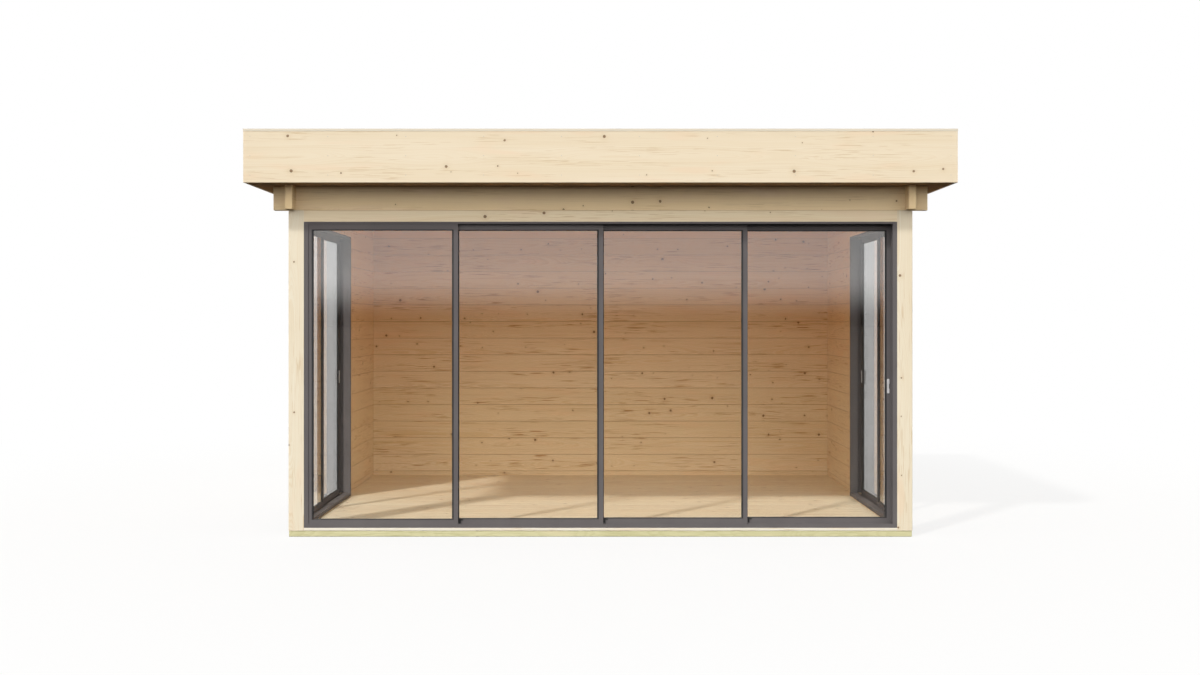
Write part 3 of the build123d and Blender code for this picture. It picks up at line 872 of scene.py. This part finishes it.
def ringAround(shape, opening, frameLift, face, facing, across):
    (uLow, vLow), (uHigh, vHigh) = opening
    top = frameLift + gasket["proud"]
    profile = (
        (gasket["reach"], 0.0, 0.0),
        (gasket["reach"] * 0.8, 0.0, gasket["wedge"]),
        (gasket["bead"], 0.0, gasket["shoulder"]),
        (0.0, 0.0, top),
        (0.0, 1.0, top),
        (-gasket["lip"], 1.0, frameLift + 0.0001),
        (0.0, 1.0, frameLift - 0.0003),
        (0.0, 0.0, frameLift - gasket["sunk"]),
        (0.0, 0.0, 0.0),
    )
    loops = []
    for inset, cover, lift in profile:
        u, v = inset - cover * gasket["coverSide"], inset - cover * gasket["coverRail"]
        corners = ((uLow + u, vLow + v), (uHigh - u, vLow + v), (uHigh - u, vHigh - v), (uLow + u, vHigh - v))
        level = face + facing * lift
        loops.append([shape.verts.new((p, level, q) if across == "Y" else (level, p, q)) for p, q in corners])
    skin(shape, loops, around=True)


for name in frontPanels + fixedSides + slidingSides:
    body = "pod" if name in ("front_panel_1", *fixedSides) else name
    across = "Y" if name in frontPanels else "X"
    low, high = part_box(name + "_frame")
    paneLow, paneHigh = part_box(name + "_glass")
    along, through = (0, 1) if across == "Y" else (1, 0)
    opening = ((low[along] + stile, low.z + rail), (high[along] - stile, high.z - rail))
    shape = bmesh.new()
    for face, facing, frameLift in (
        (paneLow[through], -1, paneLow[through] - low[through]),
        (paneHigh[through], 1, high[through] - paneHigh[through]),
    ):
        ringAround(shape, opening, frameLift, face, facing, across)
    addPiece(name + "_gaskets", meshOf(shape), "rubber", body)
print("gaskets")


def addBox(shape, low, high):
    made = bmesh.ops.create_cube(shape, size=1.0)["verts"]
    for vertex in made:
        vertex.co = Vector(low[i] + (vertex.co[i] + 0.5) * (high[i] - low[i]) for i in range(3))
    return made


# Pile seals in the gap between two panels, on the sliding one
seal = {
    "width": 0.0062,
    "base": 0.0012,
    "reach": 0.0064,
    "pitch": 0.0035,
    "tuft": 0.0011,
    "rows": 3,
    "rowSpacing": 1.5,
    "endGap": 0.012,
    "turn": 0.18,
    "shrink": 0.12,
}
for name in frontPanels[1:] + slidingSides:
    low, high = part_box(name + "_frame")
    side = -1 if name.startswith("left") else 1
    bottom, top = low.z + seal["endGap"], high.z - seal["endGap"]
    if name in frontPanels:
        place = Vector((low.x + stile / 2, low.y, bottom))
        outward = Vector((0, -1, 0))
        sideways = Vector((1, 0, 0))
    else:
        inner = low.x if side > 0 else high.x
        place = Vector((inner, low.y + stile / 2, bottom))
        outward = Vector((-side, 0, 0))
        sideways = Vector((0, 1, 0))
    shape = bmesh.new()
    cornerA = place - sideways * seal["width"] / 2
    cornerB = place + sideways * seal["width"] / 2 + outward * seal["base"] + Vector((0, 0, top - bottom))
    addBox(
        shape, [min(a, b) for a, b in zip(cornerA, cornerB)], [max(a, b) for a, b in zip(cornerA, cornerB)]
    )
    base = meshOf(shape)
    tuft = bmesh.new()
    ring = [
        tuft.verts.new(sideways * x * seal["tuft"] + Vector((0, 0, z * seal["tuft"])))
        for x, z in ((-1, -1), (1, -1), (1, 1), (-1, 1))
    ]
    tip = tuft.verts.new(outward * (seal["reach"] - seal["base"]))
    for index in range(4):
        tuft.faces.new((ring[index], ring[(index + 1) % 4], tip))
    tuft.faces.new(ring)
    rowStep = sideways * seal["tuft"] * seal["rowSpacing"]
    values = {
        "Count": int((top - bottom) / seal["pitch"]),
        "First": place + outward * seal["base"] - rowStep + Vector((0, 0, seal["pitch"] / 2)),
        "Step": (0.0, 0.0, seal["pitch"]),
        "Rows": seal["rows"],
        "RowStep": rowStep + Vector((0, 0, seal["pitch"] / seal["rows"])),
        "Axis": Vector((0, 0, 1)),
        "Turn": seal["turn"],
        "Shrink": seal["shrink"],
        "Finish": finishes["pile"],
    }
    bristles = grow("tufts", meshOf(tuft), rowOf, values)
    addPiece(name + "_seal", joinMeshes([base, bristles]), "pile", name)
print("pile seals")


# Moulded corner pieces on the sliding frames, in the angle of lower rail and meeting stile
cornerPiece = {"width": 0.032, "high": 0.030, "bar": 0.011, "leg": 0.015, "thick": 0.003, "edge": 0.0007}
for name in frontPanels[1:]:
    low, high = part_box(name + "_frame")
    wide, tall, bar, leg = (cornerPiece[key] for key in ("width", "high", "bar", "leg"))
    outline = ((0.0, 0.0), (0.0, -tall), (leg, -tall), (leg, -bar), (wide, -bar), (wide, 0.0))
    shape = bmesh.new()
    corners = [
        shape.verts.new((low.x + stile + x, low.y - cornerPiece["thick"], low.z + rail + z))
        for x, z in outline
    ]
    raised = bmesh.ops.extrude_face_region(shape, geom=[shape.faces.new(corners)])
    for item in raised["geom"]:
        if isinstance(item, bmesh.types.BMVert):
            item.co.y = low.y + 0.0003
    bmesh.ops.recalc_face_normals(shape, faces=shape.faces)
    bmesh.ops.bevel(shape, geom=shape.edges[:], offset=cornerPiece["edge"], segments=2, affect="EDGES")
    addPiece(name + "_corner", meshOf(shape), "rubber", name)
print("corner pieces")

# Latch levers beside the flush plates, with ribs for the thumb; their black is partly a real lever and partly
# painted shade of the pull's recess
lever = {
    "width": 0.0085,
    "length": 0.037,
    "thick": 0.0033,
    "offset": 0.0088,
    "level": 1.03,
    "segments": 8,
    "sunk": -0.0003,
    "ribs": 5,
    "ribPitch": 0.0032,
    "ribReach": 0.55,
    "ribLift": 0.0004,
    "ribRise": 0.0008,
}
for name in frontPanels[3:] + slidingSides:
    low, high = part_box(name + "_frame")
    if name == "front_panel_4":
        foot = Vector((high.x - stile / 2 + lever["offset"], low.y, lever["level"]))
        outward, sideways = Vector((0, -1, 0)), Vector((1, 0, 0))
    else:
        side = 1 if low.x > 0 else -1
        foot = Vector(
            (side * min(abs(low.x), abs(high.x)), high.y - stile / 2 + lever["offset"], lever["level"])
        )
        outward, sideways = Vector((-side, 0, 0)), Vector((0, 1, 0))
    shape = bmesh.new()
    radius, reach = lever["width"] / 2, lever["length"] / 2 - lever["width"] / 2
    loops = []
    thick, sunk, rise = lever["thick"], lever["sunk"], lever["ribRise"]
    for share, level in ((1.0, sunk), (1.0, thick * 0.6), (0.84, thick * 0.92), (0.5, thick)):
        loop = []
        for end, start in ((1, 0.0), (-1, math.pi)):
            for i in range(lever["segments"] + 1):
                angle = start + math.pi * i / lever["segments"]
                across, up = radius * share * math.cos(angle), end * reach + radius * share * math.sin(angle)
                loop.append(shape.verts.new(foot + sideways * across + outward * level + Vector((0, 0, up))))
        loops.append(loop)
    skin(shape, loops)
    for rib in range(lever["ribs"]):
        level = (rib - (lever["ribs"] - 1) / 2) * lever["ribPitch"]
        ends = []
        for across in (-radius * lever["ribReach"], radius * lever["ribReach"]):
            middle = foot + sideways * across + outward * thick + Vector((0, 0, level))
            section = ((sunk, -rise), (lever["ribLift"], 0.0), (sunk, rise))
            ends.append(
                [shape.verts.new(middle + outward * lift + Vector((0, 0, up))) for lift, up in section]
            )
        skin(shape, ends)
    addPiece(name + "_latch", meshOf(shape), "rubber", name)
print("latch levers")


# Heads of screws and nails: a low dome with a round recess
def headMesh(radius, lift, axis, segments=12, recess=0.4, sunk=-0.0004):
    shape = bmesh.new()
    direction = Vector(axis).normalized()
    tangent = direction.orthogonal().normalized()
    other = direction.cross(tangent)
    turns = [2 * math.pi * i / segments for i in range(segments)]
    around = [tangent * math.cos(turn) + other * math.sin(turn) for turn in turns]
    rings = []
    for share, level in (
        (1.0, sunk), (1.0, lift * 0.45), (0.72, lift), (recess, lift), (recess * 0.8, lift * 0.2)
    ):
        rings.append([shape.verts.new(spoke * radius * share + direction * level) for spoke in around])
    skin(shape, rings)
    return meshOf(shape)


def headRow(look, axis, first, step, count, rows=1, rowStep=(0, 0, 0)):
    values = {
        "Count": count,
        "First": Vector(first),
        "Step": Vector(step),
        "Rows": rows,
        "RowStep": Vector(rowStep),
        "Axis": Vector(axis),
        "Turn": 3.1,
        "Finish": finishes["steel"],
    }
    return grow("heads", headMesh(look["radius"], look["lift"], axis), rowOf, values)


fasciaNails = {
    "radius": 0.0024,
    "lift": 0.0006,
    "endInset": 0.045,
    "columns": 10,
    "sideColumns": 7,
    "edgeInset": 0.05,
    "rows": 3,
}
low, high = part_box("front_fascia")
sideLow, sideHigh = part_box("right_fascia")
edge, rowCount = fasciaNails["edgeInset"], fasciaNails["rows"]
step = (high.x - low.x - 2 * fasciaNails["endInset"]) / (fasciaNails["columns"] - 1)
sideStep = (sideHigh.y - sideLow.y - 2 * edge) / (fasciaNails["sideColumns"] - 1)
bottom, rowStep = low.z + edge, (0, 0, (high.z - low.z - 2 * edge) / 2)
rows = []
for side in (1, -1):
    first = (low.x + fasciaNails["endInset"], side * low.y, bottom)
    rows.append(
        headRow(fasciaNails, (0, -side, 0), first, (step, 0, 0), fasciaNails["columns"], rowCount, rowStep)
    )
for side in (1, -1):
    first = (side * sideHigh.x, sideLow.y + edge, bottom)
    rows.append(
        headRow(
            fasciaNails, (side, 0, 0), first, (0, sideStep, 0), fasciaNails["sideColumns"], rowCount, rowStep
        )
    )
addPiece("fascia_nails", joinMeshes(rows), "steel", "pod")

trackScrews = {
    "radius": 0.0034,
    "lift": 0.0007,
    "spacing": 0.42,
    "sideSpacing": 0.345,
    "sideCount": 5,
    "endInset": 0.09,
    "edgeInset": 0.0085,
    "level": 0.008,
    "trackPitch": 0.028,
}
inset, edge, pitch = trackScrews["endInset"], trackScrews["edgeInset"], trackScrews["trackPitch"]
low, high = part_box("front_door_sill")
count = int((high.x - low.x - 0.1) / trackScrews["spacing"])
first = (low.x + inset, low.y + edge, low.z + trackScrews["level"])
rows = [headRow(trackScrews, (0, 0, 1), first, (trackScrews["spacing"], 0, 0), count, 4, (0, pitch, 0))]
sideLow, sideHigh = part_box("side_door_sills")
for side in (1, -1):
    first = (side * (sideHigh.x - edge), sideLow.y + inset, sideLow.z + trackScrews["level"])
    step, rowStep = (0, trackScrews["sideSpacing"], 0), (-side * pitch, 0, 0)
    rows.append(headRow(trackScrews, (0, 0, 1), first, step, trackScrews["sideCount"], 2, rowStep))
addPiece("track_screws", joinMeshes(rows), "steel", "pod")
print("nails and screws")

# Roof: welded laps over the sheet, its upstand inside the fascia, and the fixings of the trim
roofSheet = {
    "fall": 0.045,
    "laps": 4,
    "lapWidth": 0.08,
    "lapLift": 0.004,
    "endGap": 0.004,
    "bead": 0.006,
    "sunk": -0.0005,
    "upstand": 0.0026,
    "cove": 0.03,
    "flange": 0.06,
}
low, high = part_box("roof_membrane")
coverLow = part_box("roof_edge_trim")[1].z - 0.002
fall = roofSheet["fall"] / (high.y - low.y)
frontTop = high.z


def roofLevel(y):
    return frontTop - (y - low.y) * fall


shape = bmesh.new()
bead, lapLift, sunk = roofSheet["bead"], roofSheet["lapLift"], roofSheet["sunk"]
for index in range(roofSheet["laps"]):
    middle = low.x + (index + 1) * (high.x - low.x) / (roofSheet["laps"] + 1)
    left, right = middle - roofSheet["lapWidth"] / 2, middle + roofSheet["lapWidth"] / 2
    section = (
        (left, sunk),
        (right + bead, sunk),
        (right + bead * 0.6, lapLift),
        (right, lapLift * 1.5),
        (right - bead * 0.7, lapLift),
        (left + 0.001, lapLift),
    )
    ends = []
    for y in (low.y + roofSheet["endGap"], high.y - roofSheet["endGap"]):
        ends.append([shape.verts.new((x, y, roofLevel(y) + lift)) for x, lift in section])
    skin(shape, ends)
corners = ((low.x, low.y), (high.x, low.y), (high.x, high.y), (low.x, high.y))
thick, cove, flange = roofSheet["upstand"], roofSheet["cove"], roofSheet["flange"]
section = (
    (0.0, sunk),
    (0.0, None),
    (thick, None),
    (thick, cove),
    (cove, thick),
    (cove + flange, thick * 0.9),
    (cove + flange + 0.003, sunk),
)
loops = []
for inset, lift in section:
    loop = []
    for x, y in corners:
        px, py = x - math.copysign(inset, x), y - math.copysign(inset, y)
        loop.append(shape.verts.new((px, py, coverLow if lift is None else roofLevel(py) + lift)))
    loops.append(loop)
skin(shape, loops, around=True)
addPiece("roof_sheet_laps", meshOf(shape), "membrane", "pod")

# Heads along the upstand, just under the edge trim
fixings = {"radius": 0.006, "lift": 0.0018, "spacing": 0.35, "endInset": 0.1, "drop": 0.022}
rows = []
clear, level, inset = roofSheet["upstand"], coverLow - fixings["drop"], fixings["endInset"]
for x, axis in ((low.x + clear, (1, 0, 0)), (high.x - clear, (-1, 0, 0))):
    count = int((high.y - low.y - 2 * inset) / fixings["spacing"])
    step = (high.y - low.y - 2 * inset) / count
    rows.append(headRow(fixings, axis, (x, low.y + inset, level), (0, step, 0), count + 1))
for y, axis in ((low.y + clear, (0, 1, 0)), (high.y - clear, (0, -1, 0))):
    count = int((high.x - low.x - 2 * inset) / fixings["spacing"])
    step = (high.x - low.x - 2 * inset) / count
    rows.append(headRow(fixings, axis, (low.x + inset, y, level), (step, 0, 0), count + 1))
addPiece("upstand_fixings", joinMeshes(rows), "steel", "pod")
print("roof sheet and fixings")


# Floor and light: a floor that fades to white, a low bright sky and a weak sun from the front left
studio = {
    "floorHalf": 300.0,
    "floorLevel": -0.0008,
    "floorColour": (0.79, 0.79, 0.785, 1.0),
    "mirroredColour": (0.04, 0.038, 0.034, 1.0),
    "bounceColour": (0.03, 0.028, 0.026, 1.0),
    "white": (1.0, 1.0, 1.0, 1.0),
    "whiteShare": 0.8,
    "fadeStart": 3.2,
    "fadeEnd": 9.0,
    "skyColour": (1.0, 0.98, 0.94, 1.0),
    "skyLow": 2.05,
    "skyHigh": 0.05,
    "skyFade": (0.5, 0.78),
    "horizon": (-0.04, 0.03),
    "mirroredHaze": (0.0, 0.035),
    "sunStrength": 1.85,
    "sunColour": (1.0, 0.985, 0.96),
    "sunAngle": 4.0,
    "sunSide": 38.0,
    "sunHeight": 44.5,
}


# 1 where the camera sees a thing, straight, in a mirror or through glass
def seenRays(tree):
    path = tree.nodes.new("ShaderNodeLightPath").outputs
    found = larger(tree, path["Is Camera Ray"], path["Is Glossy Ray"])
    return larger(tree, found, path["Is Transmission Ray"])


# 1 on a path that glass or a sheen has thrown back, also inside a pane
def reflected(tree):
    return calc(tree, "GREATER_THAN", tree.nodes.new("ShaderNodeLightPath").outputs["Glossy Depth"], 0.5)


floorMesh = bpy.data.meshes.new("studioFloor")
half, level = studio["floorHalf"], studio["floorLevel"]
corners = [(x * half, y * half, level) for x, y in ((-1, -1), (1, -1), (1, 1), (-1, 1))]
floorMesh.from_pydata(corners, [], [(0, 1, 2, 3)])
newObject("studioFloor", floorMesh)
paleFloor, tree, shader = newMaterial("paleFloor", 0.9, Specular_IOR_Level=0.0)
shader.inputs["Base Color"].default_value = studio["bounceColour"]
place = tree.nodes.new("ShaderNodeTexCoord").outputs["Object"]
away = addNode(tree, "ShaderNodeVectorMath", {0: place}, operation="LENGTH").outputs["Value"]
shown = addNode(tree, "ShaderNodeBsdfDiffuse", {"Color": studio["floorColour"]}).outputs[0]
mirrored = addNode(tree, "ShaderNodeBsdfDiffuse", {"Color": studio["mirroredColour"]}).outputs[0]
white = addNode(tree, "ShaderNodeEmission", {"Color": studio["white"], "Strength": 1.0}).outputs[0]
share = ramp(tree, away, studio["fadeStart"], studio["fadeEnd"], studio["whiteShare"], 1.0)
shown = mixShaders(tree, reflected(tree), mixShaders(tree, share, shown, white), mirrored)
chosen = mixShaders(tree, seenRays(tree), shader.outputs[0], shown)
tree.links.new(chosen, tree.nodes["Material Output"].inputs["Surface"])
floorMesh.materials.append(paleFloor)

world = bpy.data.worlds.new("studio")
bpy.context.scene.world = world
world.use_nodes = True
tree = world.node_tree
soft = tree.nodes["Background"]
direction = split(tree, tree.nodes.new("ShaderNodeTexCoord").outputs["Generated"])
soft.inputs["Color"].default_value = studio["skyColour"]
overhead = ramp(tree, direction[2], *studio["skyFade"], studio["skyLow"], studio["skyHigh"])
tree.links.new(times(tree, ramp(tree, direction[2], *studio["horizon"]), overhead), soft.inputs["Strength"])
plain = addNode(tree, "ShaderNodeBackground", {"Color": studio["white"], "Strength": 1.0}).outputs[0]
haze = larger(tree, ramp(tree, direction[2], *studio["mirroredHaze"]), minus(tree, 1.0, reflected(tree)))
tree.links.new(haze, plain.node.inputs["Strength"])
mixed = mixShaders(tree, seenRays(tree), soft.outputs[0], plain)
tree.links.new(mixed, tree.nodes["World Output"].inputs["Surface"])

lamp = bpy.data.lights.new("sun", "SUN")
lamp.energy = studio["sunStrength"]
lamp.angle = math.radians(studio["sunAngle"])
lamp.color = studio["sunColour"]
sunObject = newObject("sun", lamp)
side, height = math.radians(studio["sunSide"]), math.radians(studio["sunHeight"])
beam = Vector((math.sin(side) * math.cos(height), math.cos(side) * math.cos(height), -math.sin(height)))
sunObject.rotation_euler = beam.to_track_quat("-Z", "Y").to_euler()
print("floor and light")

# Camera: level, straight at the glass front, as far off as the photograph was taken
view = {
    "place": (0.0, -10.652, 1.485),
    "lens": 39.65,
    "sensor": 36.0,
    "shiftX": -0.0004,
    "shiftY": -0.0142,
    "clipEnd": 1000.0,
}
camera = bpy.data.cameras.new("camera")
camera.lens = view["lens"]
camera.sensor_width = view["sensor"]
camera.shift_x, camera.shift_y = view["shiftX"], view["shiftY"]
camera.clip_end = view["clipEnd"]
cameraObject = newObject("camera", camera)
cameraObject.location = view["place"]
cameraObject.rotation_euler = (math.radians(90), 0.0, 0.0)
bpy.context.scene.camera = cameraObject
bpy.context.scene.view_settings.view_transform = "Standard"

print("scene ready")
